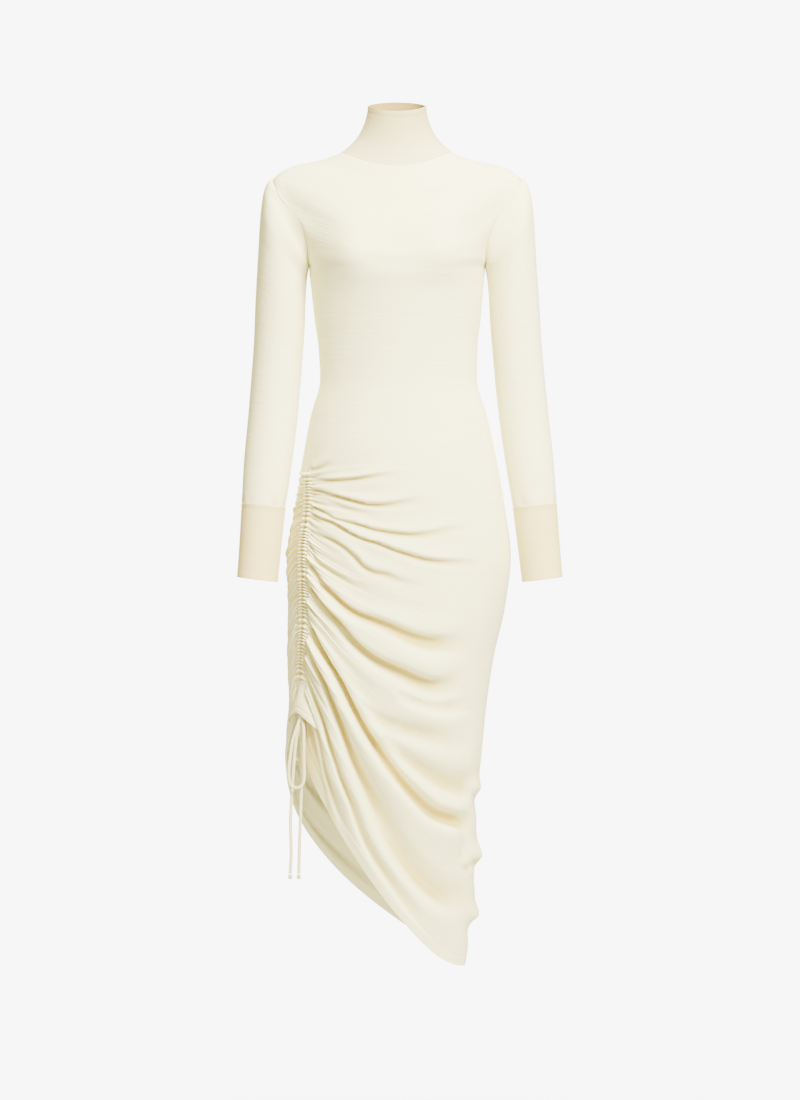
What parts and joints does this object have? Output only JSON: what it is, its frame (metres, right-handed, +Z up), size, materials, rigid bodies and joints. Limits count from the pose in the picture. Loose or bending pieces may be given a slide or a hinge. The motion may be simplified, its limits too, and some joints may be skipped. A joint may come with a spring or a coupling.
{
  "type": "sweater dress",
  "caption": "Fine-knit dress filled out as worn: funnel neck, long sleeves with deep cuffs, and a skirt ruched up one side on a tied drawcord over a slanting hem.",
  "frame": {"origin": "middle of the neck seam, where the wearer's neck and shoulders hold the dress up", "axes": "+Z up along the dress, +X towards the long side of the hem, the front faces -Y"},
  "size_m": [0.5169, 0.2504, 1.384],
  "materials": {
    "fine_knit": "ivory fine jersey knit, matt with a soft nap",
    "tight_knit": "beige tight knit, matt",
    "knitted_cord": "ivory knitted tube cord, matt"
  },
  "bodies": {
    "root": {"front_panel": "fine_knit", "back_panel": "fine_knit", "drawcord_channel": "fine_knit", "left_sleeve": "fine_knit", "right_sleeve": "fine_knit", "funnel_neck": "tight_knit", "left_cuff": "tight_knit", "right_cuff": "tight_knit", "cord_front_lead": "knitted_cord", "cord_back_lead": "knitted_cord", "cord_front_loop": "knitted_cord", "cord_back_loop": "knitted_cord", "cord_front_tail": "knitted_cord", "cord_back_tail": "knitted_cord", "bow_knot": "knitted_cord", "end_knot_front": "knitted_cord", "end_knot_back": "knitted_cord"}
  },
  "joints": []
}
